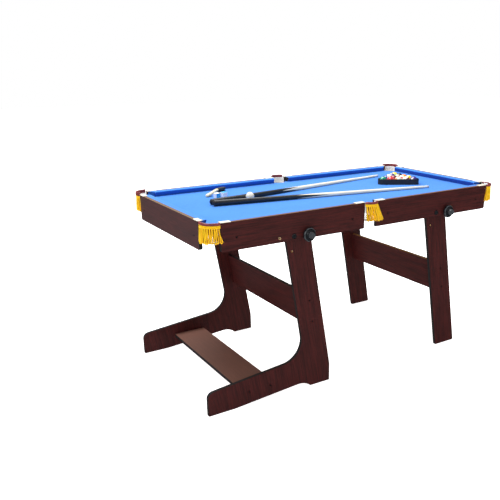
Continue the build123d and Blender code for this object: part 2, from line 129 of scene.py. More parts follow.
def grid_faces(rows, columns, start=0, wrap=False, close=False):
    """Quads between rows of vertices. wrap joins a row's ends, and close joins the last row to the first."""
    faces = []
    for i in range(rows if close else rows - 1):
        for j in range(columns if wrap else columns - 1):
            a = start + i * columns + j
            b = start + i * columns + (j + 1) % columns
            c = start + ((i + 1) % rows) * columns + (j + 1) % columns
            d = start + ((i + 1) % rows) * columns + j
            faces.append((a, b, c, d))
    return faces


class Tubes:
    """Many round strands in one mesh, each with a tone from 0 to 1 for its shading."""

    def __init__(self, sides=6):
        self.sides = sides
        self.verts = []
        self.faces = []
        self.tones = []

    def add(self, points, radius, tone, closed=False):
        """A strand of one radius along points, or a ring of it if closed."""
        points = [Vector(p) for p in points]
        count = len(points)
        start = len(self.verts)
        normal = None
        for i, point in enumerate(points):
            if closed:
                ahead = points[(i + 1) % count] - points[i - 1]
            else:
                ahead = points[min(i + 1, count - 1)] - points[max(i - 1, 0)]
            ahead.normalize()
            if normal is None:
                normal = ahead.orthogonal().normalized()
            normal = (normal - ahead * normal.dot(ahead)).normalized()
            side = ahead.cross(normal)
            for k in range(self.sides):
                a = 2 * math.pi * k / self.sides
                self.verts.append(point + (normal * math.cos(a) + side * math.sin(a)) * radius)
                self.tones.append(tone)
        self.faces += grid_faces(count, self.sides, start, wrap=True, close=closed)
        if not closed:
            last = start + (count - 1) * self.sides
            self.faces.append(tuple(range(start + self.sides - 1, start - 1, -1)))
            self.faces.append(tuple(range(last, last + self.sides)))

    def piece(self, name, material, body, slot, replaces=()):
        """Show the strands as one piece, with their tones as a point attribute."""
        made = mesh_piece(name, self.verts, self.faces, [material], body, replaces)
        tone = made.data.attributes.new("tone", "FLOAT", "POINT")
        tone.data.foreach_set("value", self.tones)


def bumpy(point, scale, seed=0.0):
    """Smooth noise from about -1 to 1 at a point in metres."""
    return noise.noise(Vector(point) * scale + Vector((seed, seed * 1.7, -seed)))


def smoothstep(t):
    """A soft step from 0 to 1 as t goes from 0 to 1."""
    t = min(max(t, 0.0), 1.0)
    return t * t * (3 - 2 * t)


def around(center, radius, angle, z):
    """A point at a distance and angle in degrees from a vertical axis."""
    a = math.radians(angle)
    return Vector((center[0] + radius * math.cos(a), center[1] + radius * math.sin(a), z))


# ---- material helpers ----
class Nodes:
    """A node tree and short ways to add nodes to it."""

    def __init__(self, tree):
        self.tree = tree

    def node(self, kind, inputs=None, **settings):
        made = self.tree.nodes.new("ShaderNode" + kind)
        for key, value in settings.items():
            setattr(made, key, value)
        for key, value in (inputs or {}).items():
            self.put(value, made.inputs[key])
        return made

    def put(self, value, socket):
        """Link a node's output into a socket, or set the socket's own value."""
        if isinstance(value, bpy.types.NodeSocket):
            self.tree.links.new(value, socket)
        else:
            socket.default_value = value

    def maths(self, operation, *values):
        made = self.node("Math", operation=operation)
        for value, socket in zip(values, made.inputs):
            self.put(value, socket)
        return made.outputs[0]


class Finish(Nodes):
    """A Principled material, whose named sockets are set directly, and short ways to shade it."""

    def __init__(self, name, **sockets):
        self.material = bpy.data.materials.new(name)
        self.material.use_nodes = True
        super().__init__(self.material.node_tree)
        self.shader = self.tree.nodes["Principled BSDF"]
        for key, value in sockets.items():
            self.shader.inputs[key.replace("_", " ")].default_value = value

    def coordinates(self, along=(1, 0, 0), stretch=1.0, shift=(0, 0, 0)):
        """Object coordinates in metres, drawn out along a direction."""
        turn = Vector((1, 0, 0)).rotation_difference(Vector(along).normalized()).to_euler()
        place = self.node("TexCoord").outputs["Object"]
        made = self.node("Mapping", {"Vector": place}, vector_type="TEXTURE")
        made.inputs["Location"].default_value = shift
        made.inputs["Rotation"].default_value = turn
        made.inputs["Scale"].default_value = (stretch, 1, 1)
        return made.outputs["Vector"]

    def axes(self):
        """The x, y and z of the object coordinates, in metres."""
        split = self.node("SeparateXYZ", {"Vector": self.node("TexCoord").outputs["Object"]})
        return [split.outputs[k] for k in "XYZ"]

    def noise(self, vector, scale, detail=3.0, roughness=0.5, distortion=0.0):
        inputs = {"Scale": scale, "Detail": detail, "Roughness": roughness, "Distortion": distortion}
        return self.node("TexNoise", {**inputs, "Vector": vector}).outputs["Fac"]

    def ramp(self, value, *stops):
        """A colour ramp from (position, colour or grey) stops."""
        made = self.node("ValToRGB", {"Fac": value})
        elements = made.color_ramp.elements
        while len(elements) < len(stops):
            elements.new(0.5)
        for element, (position, colour) in zip(elements, stops):
            element.position = position
            colour = (colour,) * 3 if isinstance(colour, (int, float)) else colour
            element.color = (*colour, 1)
        return made.outputs["Color"]

    def mix(self, factor, a, b):
        made = self.node("Mix", data_type="RGBA")
        for value, socket in ((factor, made.inputs[0]), (a, made.inputs[6]), (b, made.inputs[7])):
            self.put((*value, 1) if isinstance(value, tuple) else value, socket)
        return made.outputs[2]

    def spread(self, value, low, high):
        """A 0 to 1 value remapped from low to high."""
        return self.node("MapRange", {"Value": value, "To Min": low, "To Max": high}).outputs["Result"]

    def step(self, value, low, high):
        """0 where a value is below low, rising to 1 at high."""
        return self.node("MapRange", {"Value": value, "From Min": low, "From Max": high}).outputs["Result"]

    def colour(self, value):
        self.put((*value, 1) if isinstance(value, tuple) else value, self.shader.inputs["Base Color"])

    def rough(self, value):
        self.put(value, self.shader.inputs["Roughness"])

    def bump(self, *layers):
        """Height layers of (value, strength, depth in metres), the first at the bottom."""
        normal = None
        for height, strength, depth in layers:
            made = self.node("Bump", {"Height": height, "Strength": strength, "Distance": depth})
            if normal is not None:
                self.put(normal, made.inputs["Normal"])
            normal = made.outputs["Normal"]
        self.put(normal, self.shader.inputs["Normal"])


# ---- materials ----
def mahogany(name, along, shift=(0, 0, 0), painted_light=0.0, pale=(0.30, 0.16, 0.12)):
    """Dark red wood-grain laminate whose grain runs along a direction."""
    f = Finish(name, Specular_IOR_Level=0.16, Coat_Weight=0.05, Coat_Roughness=0.3)
    broad = f.noise(f.coordinates(along, 9, shift), 22, 2, 0.5, 0.7)
    figure = f.noise(f.coordinates(along, 16, shift), 75, 3, 0.55, 0.9)
    streak = f.noise(f.coordinates(along, 34, shift), 330, 3, 0.6, 0.2)
    pore = f.noise(f.coordinates(along, 26, shift), 1150, 2, 0.5)
    base = f.ramp(
        figure,
        (0.28, (0.020, 0.0066, 0.0070)),
        (0.46, (0.044, 0.0096, 0.0098)),
        (0.60, (0.064, 0.0112, 0.0108)),
        (0.76, (0.032, 0.0078, 0.0084)),
    )
    tone = f.mix(f.spread(broad, 0.10, 0.75), base, (0.074, 0.0130, 0.0115))
    tone = f.mix(f.ramp(streak, (0.36, 0.62), (0.58, 0.0)), tone, (0.013, 0.0060, 0.0062))
    tone = f.mix(f.ramp(pore, (0.30, 0.75), (0.42, 0.0)), tone, (0.007, 0.0035, 0.0035))
    # painted light: mixes a paler colour into the wood to brighten it where light falls on it
    if painted_light:
        tone = f.mix(painted_light, tone, pale)
    f.colour(tone)
    f.rough(f.spread(streak, 0.48, 0.30))
    f.bump((streak, 0.25, 0.0002), (pore, 0.35, 0.00012))
    return f.material


def edge_band():
    """Black edging strip with a faint grain."""
    f = Finish("edge_band", Specular_IOR_Level=0.35)
    grain = f.noise(f.coordinates((0, 1, 0), 6), 420, 3)
    f.colour(f.ramp(grain, (0.3, (0.006, 0.006, 0.007)), (0.7, (0.018, 0.017, 0.018))))
    f.rough(f.spread(grain, 0.34, 0.52))
    f.bump((grain, 0.2, 0.0001))
    return f.material


def raw_edge(name, along, dark, light):
    """A bare board edge, its fibres showing along one direction."""
    f = Finish(name, Specular_IOR_Level=0.3)
    fibre = f.noise(f.coordinates(along, 12), 500, 4, 0.65)
    speck = f.noise(f.coordinates(along, 2), 1300, 2)
    tone = f.mix(fibre, dark, light)
    f.colour(f.mix(f.ramp(speck, (0.35, 0.5), (0.5, 0.0)), tone, tuple(0.45 * c for c in dark)))
    f.rough(f.spread(fibre, 0.5, 0.75))
    f.bump((fibre, 0.35, 0.0003))
    return f.material


def bare_board():
    """Unfinished hardboard, mottled with chips and dust."""
    f = Finish("bare_board", Specular_IOR_Level=0.25)
    chips = f.node("TexVoronoi", {"Scale": 260.0, "Vector": f.coordinates((0, 1, 0), 2.2)})
    dust = f.noise(f.coordinates(), 700, 4, 0.6)
    cloud = f.noise(f.coordinates(), 9, 3)
    tone = f.mix(chips.outputs["Distance"], (0.20, 0.105, 0.052), (0.33, 0.19, 0.098))
    tone = f.mix(f.ramp(dust, (0.3, 0.7), (0.6, 0.0)), tone, (0.14, 0.070, 0.034))
    f.colour(f.mix(f.spread(cloud, 0.0, 0.35), tone, (0.25, 0.15, 0.085)))
    f.rough(f.spread(dust, 0.62, 0.85))
    f.bump((chips.outputs["Distance"], 0.25, 0.0003), (dust, 0.3, 0.0002))
    return f.material


def table_cloth(name, along, colour, shade, tint=(0.62, 0.82, 1.0)):
    """Napped playing cloth: short fibres combed one way over a fine weave."""
    f = Finish(name, Specular_IOR_Level=0.22, Sheen_Weight=0.42, Sheen_Roughness=0.38, Sheen_Tint=(*tint, 1))
    nap = f.noise(f.coordinates(along, 9), 850, 3, 0.6)
    weave = f.noise(f.coordinates(along, 1.0), 2100, 2, 0.5)
    cloud = f.noise(f.coordinates(along, 2.4), 7, 3, 0.55)
    tone = f.mix(f.ramp(nap, (0.28, 1.0), (0.62, 0.0)), colour, shade)
    tone = f.mix(f.ramp(weave, (0.32, 0.45), (0.55, 0.0)), tone, tuple(c * 0.6 for c in shade))
    lighter = tuple(min(1.0, c * 1.12 + 0.01) for c in colour)
    f.colour(f.mix(f.spread(cloud, 0.0, 0.5), tone, lighter))
    f.rough(f.spread(nap, 0.72, 0.92))
    f.bump((cloud, 0.06, 0.002), (nap, 0.3, 0.0003), (weave, 0.35, 0.0002))
    return f.material


def leather():
    """Maroon leather: pebbled grain and soft creases under a thin coat."""
    f = Finish("maroon_leather", Specular_IOR_Level=0.5, Coat_Weight=0.35, Coat_Roughness=0.3)
    cells = f.node("TexVoronoi", {"Scale": 950.0, "Vector": f.coordinates()}, feature="SMOOTH_F1")
    crease = f.noise(f.coordinates((0, 0, 1), 0.35), 150, 4, 0.6, 1.2)
    cloud = f.noise(f.coordinates(), 45, 3)
    tone = f.ramp(cloud, (0.30, (0.135, 0.016, 0.020)), (0.70, (0.270, 0.036, 0.042)))
    # painted shade: the creases are darkened towards a near-black maroon
    tone = f.mix(f.ramp(crease, (0.32, 0.75), (0.48, 0.0)), tone, (0.045, 0.008, 0.010))
    # painted shade: the valleys between the pebbles of the grain are darkened
    between = f.ramp(cells.outputs["Distance"], (0.55, 0.0), (0.9, 0.4))
    f.colour(f.mix(between, tone, (0.05, 0.01, 0.012)))
    f.rough(f.spread(crease, 0.5, 0.3))
    f.bump((crease, 0.5, 0.0009), (cells.outputs["Distance"], 0.3, 0.0002))
    return f.material


def yarn(name, deep_shade, middle, bright, twist=1500):
    """Twisted yarn, each strand a little different in tone, with painted shade in the grooves between its
    plies.
    """
    tint = (1.0, 0.8, 0.3, 1)
    f = Finish(name, Specular_IOR_Level=0.25, Sheen_Weight=0.35, Sheen_Roughness=0.4, Sheen_Tint=tint)
    tone = f.node("Attribute", attribute_name="tone").outputs["Fac"]
    fuzz = f.noise(f.coordinates((0, 0, 1), 1.6), 1500, 3, 0.65)
    lay = f.coordinates((0.45, 0.3, 1), 1.0)
    inputs = {"Vector": lay, "Scale": twist / 6.283, "Distortion": 1.6, "Detail": 1.0}
    ply = f.node("TexWave", inputs, bands_direction="X").outputs["Fac"]
    base = f.ramp(tone, (0.0, deep_shade), (0.45, middle), (1.0, bright))
    # painted shade: the grooves between the plies are darkened to the deep shade colour
    base = f.mix(f.ramp(ply, (0.1, 0.25), (0.5, 0.0)), base, deep_shade)
    f.colour(f.mix(f.ramp(fuzz, (0.3, 0.2), (0.5, 0.0)), base, tuple(c * 0.7 for c in deep_shade)))
    f.rough(f.spread(fuzz, 0.6, 0.85))
    f.bump((ply, 0.7, 0.0006), (fuzz, 0.4, 0.0002))
    return f.material


def moulded(name, dark, light, rough=(0.35, 0.5), level=0.5, grain=600, coat=0.0, depth=0.0001):
    """Moulded plastic or paint with faint flow marks and a fine surface grain."""
    f = Finish(name, Specular_IOR_Level=level, Coat_Weight=coat, Coat_Roughness=0.15)
    cloud = f.noise(f.coordinates(), 60, 3)
    fine = f.noise(f.coordinates(), grain, 3, 0.6)
    f.colour(f.mix(f.mix(0.35, cloud, fine), dark, light))
    f.rough(f.spread(fine, *rough))
    f.bump((fine, 0.3, depth))
    return f.material


def metal(name, dark, light, rough=(0.28, 0.45), plating=1.0):
    """Plated metal with fine tool marks and light tarnish."""
    f = Finish(name, Metallic=plating)
    marks = f.noise(f.coordinates((0, 1, 0), 0.2), 900, 3, 0.6)
    tarnish = f.noise(f.coordinates(), 90, 3)
    f.colour(f.mix(tarnish, dark, light))
    f.rough(f.spread(marks, *rough))
    f.bump((marks, 0.25, 0.0001))
    return f.material


def cue_finish(name, splice_start, splice_end, phase):
    """Lacquered cue: black butt with four spliced points running into a pale maple shaft."""
    f = Finish(name, Specular_IOR_Level=0.35, Coat_Weight=0.22, Coat_Roughness=0.24)
    x, y, z = f.axes()
    turn = f.maths("ARCTAN2", z, y)
    lobes = f.maths("FRACT", f.maths("ADD", f.maths("MULTIPLY", turn, 4 / (2 * math.pi)), phase))
    off = f.maths("MULTIPLY", f.maths("ABSOLUTE", f.maths("SUBTRACT", lobes, 0.5)), 2.0)
    way = f.maths("DIVIDE", f.maths("SUBTRACT", x, splice_start), splice_end - splice_start)
    gap = f.maths("SUBTRACT", way, f.maths("SUBTRACT", 1.0, off))
    pale = f.step(gap, -0.012, 0.012)
    grain = f.noise(f.coordinates((1, 0, 0), 30), 420, 3, 0.6)
    flame = f.noise(f.coordinates((1, 0, 0), 1.5), 60, 3)
    maple = f.ramp(grain, (0.3, (0.84, 0.72, 0.49)), (0.62, (0.95, 0.88, 0.70)))
    maple = f.mix(f.spread(flame, 0.0, 0.35), maple, (0.97, 0.91, 0.76))
    ebony = f.ramp(grain, (0.3, (0.006, 0.007, 0.009)), (0.7, (0.022, 0.024, 0.027)))
    f.colour(f.mix(pale, ebony, maple))
    f.rough(f.spread(grain, 0.40, 0.52))
    f.bump((grain, 0.08, 0.0001))
    return f.material


def ball_finish(name, colour, stripe):
    """Polished resin ball: plain (False) or striped (True), with a white spot at each pole of its x axis.

    The cue ball's stripe is None, and it has no spots.
    """
    f = Finish(name, Specular_IOR_Level=0.6, Coat_Weight=1.0, Coat_Roughness=0.04)
    _, y, z = f.axes()
    cloud = f.noise(f.coordinates(), 160, 2)
    ink = f.mix(f.spread(cloud, 0.0, 0.3), colour, tuple(c * 0.8 for c in colour))
    white = f.mix(f.spread(cloud, 0.0, 0.4), (0.88, 0.86, 0.78), (0.80, 0.77, 0.66))
    if stripe:
        ink = f.mix(f.step(f.maths("ABSOLUTE", z), 0.56 * BALL, 0.58 * BALL), ink, white)
    if stripe is not None:
        off = f.maths("SQRT", f.maths("ADD", f.maths("MULTIPLY", y, y), f.maths("MULTIPLY", z, z)))
        ink = f.mix(f.step(off, 0.38 * BALL, 0.40 * BALL), white, ink)
    f.colour(ink)
    f.rough(f.spread(cloud, 0.10, 0.2))
    return f.material


LEAN = {"stand": math.radians(9.6), "prop": math.radians(10)}
UPRIGHT_GRAIN = {kind: (-math.sin(lean), 0, math.cos(lean)) for kind, lean in LEAN.items()}
BAND = edge_band()
TAN_EDGE = raw_edge("tan_edge_x", (1, 0, 0), (0.10, 0.045, 0.022), (0.26, 0.130, 0.070))
TAN_EDGE_Y = raw_edge("tan_edge_y", (0, 1, 0), (0.115, 0.070, 0.036), (0.27, 0.165, 0.090))
GOLD_EDGE = raw_edge("gold_edge", (0, 1, 0), (0.22, 0.125, 0.045), (0.42, 0.260, 0.110))
BOARD = bare_board()
BRASS = metal("brass", (0.62, 0.44, 0.22), (0.95, 0.76, 0.46), plating=0.55)
ZINC = metal("zinc_steel", (0.32, 0.33, 0.35), (0.62, 0.63, 0.66))
BLACK_STEEL = metal("black_steel", (0.03, 0.03, 0.033), (0.10, 0.10, 0.11), rough=(0.3, 0.5))
CAP = moulded("black_cap", (0.004, 0.005, 0.006), (0.012, 0.013, 0.015), (0.12, 0.2), 0.5, 900, 0.5, 3e-5)
# painted highlight: a lighter grey plastic for the knobs' hub faces and rim bevels
HUB_PAINTED_HIGHLIGHT = moulded("knob_hub_painted_highlight", (0.022, 0.026, 0.030), (0.055, 0.064, 0.072), (0.22, 0.34), 0.5, 900, 0.5, 4e-5)
KNOB_TONES = (0.004, 0.005, 0.006), (0.012, 0.014, 0.017)
KNOB = moulded("black_plastic", *KNOB_TONES, (0.14, 0.24), 0.5, 900, 0.5, 4e-5)
RACK = moulded("rack_plastic", (0.008, 0.008, 0.010), (0.024, 0.024, 0.026), (0.42, 0.6), 0.4, 700)
CREAM = moulded("cream_plastic", (0.80, 0.74, 0.60), (0.92, 0.88, 0.77), (0.30, 0.45), 0.5, 500, 0.2)
LEATHER = leather()
BLUE = (0.036, 0.232, 0.77)
BLUE_SHADE = (0.013, 0.122, 0.52)
CLOTH_X = table_cloth("blue_cloth", (1, 0, 0), BLUE, BLUE_SHADE)
CLOTH_Y = table_cloth("blue_cloth_y", (0, 1, 0), BLUE, BLUE_SHADE)
# painted shade: darker copies of the blue cloth for the cushions' steep faces and cloth-closed ends, darkest
# on the end cushions
PAINTED_SHADE_FACE_X = table_cloth("blue_cloth_painted_shade_x", (1, 0, 0), (0.018, 0.122, 0.50), (0.008, 0.070, 0.36))
PAINTED_SHADE_FACE_Y = table_cloth("blue_cloth_painted_shade_y", (0, 1, 0), (0.013, 0.080, 0.36), (0.006, 0.046, 0.26))
YELLOW = yarn("yellow_yarn", (0.20, 0.045, 0.002), (1.0, 0.42, 0.003), (1.0, 0.66, 0.006))
WHITE_YARN = yarn("white_net", (0.42, 0.42, 0.42), (0.72, 0.72, 0.70), (0.86, 0.86, 0.84), 1800)
LINING = table_cloth("pocket_lining", (0, 0, 1), (0.84, 0.84, 0.83), (0.62, 0.62, 0.61), (1, 1, 1))
BINDING = yarn("brown_binding", (0.020, 0.008, 0.006), (0.075, 0.028, 0.018), (0.12, 0.05, 0.03), 1400)
RUBBER = moulded("black_rubber", (0.008, 0.008, 0.008), (0.020, 0.020, 0.020), (0.55, 0.75), 0.3, 900)


# ---- boards: materials by the direction that a face looks ----
def paint(node, materials, choose):
    """Give each face of a CAD node the material that choose(centre, normal) picks."""
    mesh = nodes[node].data
    mesh.materials.clear()
    for material in materials:
        mesh.materials.append(material)
    for polygon in mesh.polygons:
        polygon.material_index = choose(polygon.center, polygon.normal)


def flat_paint(material, *names):
    """Give whole CAD nodes one material."""
    for name in names:
        paint(name, [material], lambda centre, normal: 0)


PIVOT_REACH = 386.5 * MM  # from the table's middle to each pair of pivots
PIVOT_Z = 692.5 * MM
LOCK_REACH = 66 * MM  # from a pivot to its lock holes
BUSH = 5.4 * MM  # the walls of the legs' holes lie within this radius


def near_hole(point, holes):
    """Whether a point lies on the wall of one of these holes, given as (x, z)."""
    return any(math.hypot(point.x - x, point.z - z) < BUSH for x, z in holes)


for side in SIDES:
    for kind, sign in (("stand", -1), ("prop", 1)):
        x = TABLE_X + sign * PIVOT_REACH
        holes = [(x, PIVOT_Z), (x + LOCK_REACH, PIVOT_Z), (x, PIVOT_Z - LOCK_REACH)]
        grain = mahogany(f"mahogany_{kind}_{side}", UPRIGHT_GRAIN[kind], (0.3 * sign, 0.1, SIDES[side]))
        paint(
            f"{kind}_leg_{side}",
            [grain, BAND, BRASS],
            lambda c, n: 2 if abs(n.y) < 0.5 and near_hole(c, holes) else int(abs(n.y) < 0.75),
        )
    for end in ENDS:
        grain = mahogany(f"mahogany_side_{side}_{end}", (1, 0, 0), (0.4, 0.2 * SIDES[side], ENDS[end]))
        paint(
            f"side_apron_{side}_{end}",
            [grain, BAND, TAN_EDGE],
            lambda c, n: 0 if abs(n.y) > 0.75 else 2 if n.z > 0.5 else 1,
        )
for end in ENDS:
    # painted light: the end aprons' wood is lightened 12% towards grey
    grain = mahogany(f"mahogany_end_{end}", (0, 1, 0), (0.2, 0.3, ENDS[end]), 0.12, (0.15, 0.14, 0.15))
    paint(
        f"end_apron_{end}",
        [grain, BAND, TAN_EDGE_Y],
        lambda c, n: 0 if abs(n.x) > 0.75 else 2 if n.z > 0.5 else 1,
    )

crosswise = mahogany("mahogany_cross", (0, 1, 0))
paint(
    "stand_upper_board",
    [crosswise, BAND],
    lambda c, n: int(abs(n.dot(Vector(UPRIGHT_GRAIN["stand"]))) > 0.6),
)
# painted light: the foot board's wood is brightened about halfway towards a paler brown for the light on its
# top
paint(
    "stand_foot_board",
    [mahogany("mahogany_foot_board_painted_light", (0, 1, 0), (0.7, 0, 0.4), 0.52), BAND],
    lambda c, n: int(abs(n.x) > 0.6),
)
paint(
    "prop_board",
    [mahogany("mahogany_prop_board", (0, 1, 0), (0.2, 0.5, 0.1)), GOLD_EDGE],
    lambda c, n: int(abs(n.dot(Vector(UPRIGHT_GRAIN["prop"]))) > 0.6),
)
flat_paint(BOARD, "bed_board", "bed_battens")
flat_paint(CREAM, "pocket_brackets")
flat_paint(BLACK_STEEL, "stand_screws", "prop_screws", "apron_screws")
flat_paint(CAP, "pivot_bolts")
flat_paint(ZINC, "pivot_nuts")
flat_paint(RUBBER, "prop_spacers")
flat_paint(BRASS, "lock_inserts")
flat_paint(RACK, "rack")

STUD_R = 4.3 * MM
STUD_END = 387.5 * MM  # how far from the table's middle a knob's stud and its other parts reach
FLANGE_FACE = 394 * MM
HUB_FACE = 403.5 * MM


def knob_part(centre, normal, x):
    """0 for a knob's flange, 1 for its stud, 2 for its hub and the bevel round its rim, which are painted a
    lighter grey as painted highlights.
    """
    off = math.hypot(centre.x - x, centre.z - PIVOT_Z)
    reach = abs(centre.y)
    if off < STUD_R and reach < STUD_END:
        return 1
    # painted highlight: the bevel round the flange's rim and the hub's end face take the lighter grey
    bevel = off > 24 * MM and reach > FLANGE_FACE and 0.2 < abs(normal.y) < 0.95
    hub = off < 14 * MM and reach > HUB_FACE
    return 2 if bevel or hub else 0


for side, sign in SIDES.items():
    for kind, half in (("stand", -1), ("prop", 1)):
        x = TABLE_X + half * PIVOT_REACH + LOCK_REACH
        paint(f"knob_{kind}_{side}", [KNOB, ZINC, HUB_PAINTED_HIGHLIGHT], lambda c, n: knob_part(c, n, x))


# ---- bed cloth ----
INNER_X = 747 * MM
INNER_Y = 366 * MM
CORNER_X = 706 * MM  # where a side apron ends
CORNER_Y = 307 * MM  # where an end apron ends
POCKET_R = 31.2 * MM
CUT = 40 * MM  # the cloth's top is cut into squares of about this size
CORNER_POCKET = (723 * MM, 337 * MM)


def arc_points(center, radius, start, end, count):
    """Points along an arc between two angles in degrees."""
    return [around(center, radius, start + (end - start) * k / count, 0) for k in range(count + 1)]


def cloth_quarter():
    """The cloth's outline from the side pocket to the end's middle, in the far right quarter."""
    reach = math.degrees(math.acos((CORNER_X - CORNER_POCKET[0]) / POCKET_R))
    low = math.degrees(math.asin((CORNER_Y - CORNER_POCKET[1]) / POCKET_R))
    line = arc_points((0, INNER_Y), POCKET_R, -90, 0, 14)
    line += [Vector((CORNER_X, INNER_Y, 0))]
    line += arc_points(CORNER_POCKET, POCKET_R, reach, 360 + low, 26)
    line += [Vector((INNER_X, CORNER_Y, 0)), Vector((INNER_X, 0, 0))]
    return line


def bed_cloth():
    """The stretched cloth, flat on top and rolled over at its edges and at the pockets."""
    quarter = cloth_quarter()
    outline = list(quarter)
    outline += [Vector((p.x, -p.y, 0)) for p in reversed(quarter[:-1])]
    left = [Vector((-p.x, p.y, 0)) for p in outline]
    outline += list(reversed(left))[1:-1]
    clean = []
    for p in outline:
        if not clean or (p - clean[-1]).length > 1e-5:
            clean.append(p)
    count = len(clean)
    rings = [(-4.0, 0.0), (-2.0, 0.0), (-1.65, -0.15), (-1.1, -0.75), (-0.85, -1.9)]
    mesh = bmesh.new()
    loops = []
    for out, drop in rings:
        loop = []
        for i, p in enumerate(clean):
            before, after = clean[i - 1], clean[(i + 1) % count]
            ahead = (after - before).normalized()
            outward = Vector((-ahead.y, ahead.x, 0))
            shift = outward * out * MM
            loop.append(mesh.verts.new((TABLE_X + p.x + shift.x, p.y + shift.y, BED_Z + drop * MM)))
        loops.append(loop)
    for a, b in zip(loops, loops[1:]):
        for i in range(count):
            j = (i + 1) % count
            mesh.faces.new((a[i], a[j], b[j], b[i]))
    mesh.faces.new(loops[0])
    for axis, reach in ((Vector((1, 0, 0)), INNER_X), (Vector((0, 1, 0)), INNER_Y)):
        steps = int(2 * reach / CUT)
        for k in range(1, steps):
            at = Vector((TABLE_X, 0, BED_Z)) + axis * (2 * reach * k / steps - reach)
            flat = [f for f in mesh.faces if all(abs(v.co.z - BED_Z) < 1e-7 for v in f.verts)]
            edges = list({e for f in flat for e in f.edges})
            corners = list({v for f in flat for v in f.verts})
            geometry = flat + edges + corners
            bmesh.ops.bisect_plane(mesh, geom=geometry, dist=1e-7, plane_co=at, plane_no=axis)
    bmesh.ops.recalc_face_normals(mesh, faces=mesh.faces)
    data = mesh_from(mesh, "bed_cloth_sheet", CLOTH_X)
    for polygon in data.polygons:
        polygon.use_smooth = polygon.normal.z < 0.9999
    piece = place_piece("bed_cloth_sheet", data, "table_top", ["bed_cloth"])


bed_cloth()


# ---- cushions ----
CUSHION_DEPTH = 29.0  # mm from the apron to the nose


def cushion_section():
    """(reach in from the back, height above the bed) in mm round a cushion, from its back over its nose."""
    depth = CUSHION_DEPTH
    height = (RAIL_Z - BED_Z) / MM
    line = [(0, 0.0), (0, height * 0.5), (0, height - 0.9), (0.25, height - 0.3), (0.9, height)]
    for k in range(1, 10):
        share = k / 10
        line.append((0.9 + (depth - 5.4) * share, height + 0.35 * math.sin(math.pi * share) - 0.2 * share))
    for k in range(0, 9):
        a = math.radians(90 - 13.0 * k)
        line.append((depth - 4.3 + 4.2 * math.cos(a), height - 4.4 + 4.2 * math.sin(a)))
    line += [(depth - 5.6, 9.0), (depth - 7.8, 3.6), (depth - 8.6, 0.6), (depth - 8.9, 0.0)]
    return line


def cushion(name, back_ends, nose_ends, back, inward, across, facing):
    """A cloth-wrapped rubber cushion, open underneath. across is 0 if it runs along X and 1 if along Y.

    back_ends and nose_ends are its reach along the rail. facing says of each end whether it is closed in
    bare rubber or in cloth.
    """
    section = cushion_section()
    rows = 72
    verts = []
    for i in range(rows + 1):
        share = i / rows
        edge = min(share, 1 - share) * abs(back_ends[1] - back_ends[0])
        tuck = 1 - smoothstep(edge / (3.2 * MM))
        for depth, height in section:
            lean = depth / CUSHION_DEPTH
            start = back_ends[0] + (nose_ends[0] - back_ends[0]) * lean
            end = back_ends[1] + (nose_ends[1] - back_ends[1]) * lean
            share_here = share
            if 0 < i < rows:
                share_here = smoothstep(share) * 0.12 + share * 0.88
            along = start + (end - start) * share_here
            wave = bumpy((along, back, height * MM), 26, 3.1) * 0.16
            wave += bumpy((along, back, depth * MM), 90, 5.2) * 0.07
            swell = wave if height > 4 and depth > 1 else 0.0
            pull = tuck * 1.2 if height > 2 and depth > 0.5 else 0.0
            d = (depth + (swell - pull if depth > 22 else 0)) * MM
            h = (height + (swell - pull * 0.7 if height > 18 else 0)) * MM
            h = min(max(h, 0.0), RAIL_Z - BED_Z)
            point = (along, back + inward * d, BED_Z + h)
            verts.append(point if across == 0 else (point[1], point[0], point[2]))
    width = len(section)
    faces = grid_faces(rows + 1, width)
    caps = [tuple(range(width)), tuple(reversed(range(rows * width, (rows + 1) * width)))]
    cloths = [CLOTH_X, PAINTED_SHADE_FACE_X] if across == 0 else [CLOTH_Y, PAINTED_SHADE_FACE_Y]
    materials = [*cloths, RUBBER]
    piece = mesh_piece(f"{name}_cover", verts, faces + caps, materials, "table_top", [name])
    # painted shade: sides that look more sideways than up take the darker face cloth
    for polygon in piece.data.polygons[: len(faces)]:
        polygon.material_index = int(polygon.normal.z < 0.45)
    # painted shade: ends closed in cloth take the darker face cloth too
    for k, polygon in enumerate(piece.data.polygons[len(faces) :]):
        polygon.use_smooth = False
        polygon.material_index = 2 if facing[k] else 1


CUSHION_BACK_X = 702 * MM
CUSHION_BACK_Y = 304 * MM
for side, sign in SIDES.items():
    for end, half in ENDS.items():
        backs = [TABLE_X + half * 35 * MM, TABLE_X + half * CUSHION_BACK_X]
        noses = [TABLE_X + half * 43 * MM, TABLE_X + half * (CUSHION_BACK_X - 24 * MM)]
        facing = [True, False]
        if half < 0:
            backs, noses, facing = backs[::-1], noses[::-1], facing[::-1]
        cushion(f"side_cushion_{side}_{end}", backs, noses, sign * INNER_Y, -sign, 0, facing)
for end, half in ENDS.items():
    backs = [-CUSHION_BACK_Y, CUSHION_BACK_Y]
    noses = [-CUSHION_BACK_Y + 12 * MM, CUSHION_BACK_Y - 12 * MM]
    cushion(f"end_cushion_{end}", backs, noses, TABLE_X + half * INNER_X, -half, 1, [False, False])


